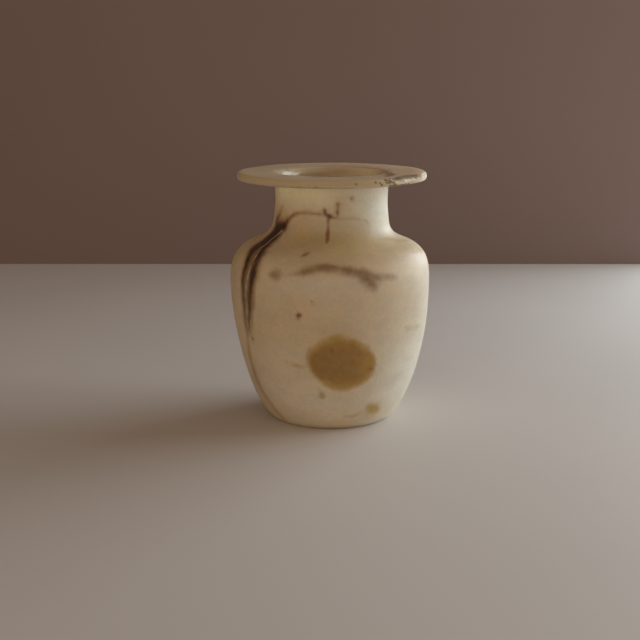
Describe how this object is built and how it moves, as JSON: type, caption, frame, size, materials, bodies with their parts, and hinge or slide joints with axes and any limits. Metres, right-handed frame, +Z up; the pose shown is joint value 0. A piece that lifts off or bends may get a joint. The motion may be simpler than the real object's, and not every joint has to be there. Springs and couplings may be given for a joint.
{
  "type": "alabaster vase",
  "caption": "Carved hollow stone vase with a broad shoulder, a short neck and a wide flat rim, which has lost flakes at one side.",
  "frame": {"origin": "centre of the foot's underside, on the surface that the vase stands on", "axes": "+Z up along the turning axis, front towards -Y, the rim's broken stretch towards +X and -Y"},
  "size_m": [0.1484, 0.1484, 0.1826],
  "materials": {
    "alabaster": "worn polish, faintly translucent honey stone with brown veins"
  },
  "bodies": {
    "root": {"alabaster_vase": "alabaster"}
  },
  "joints": []
}
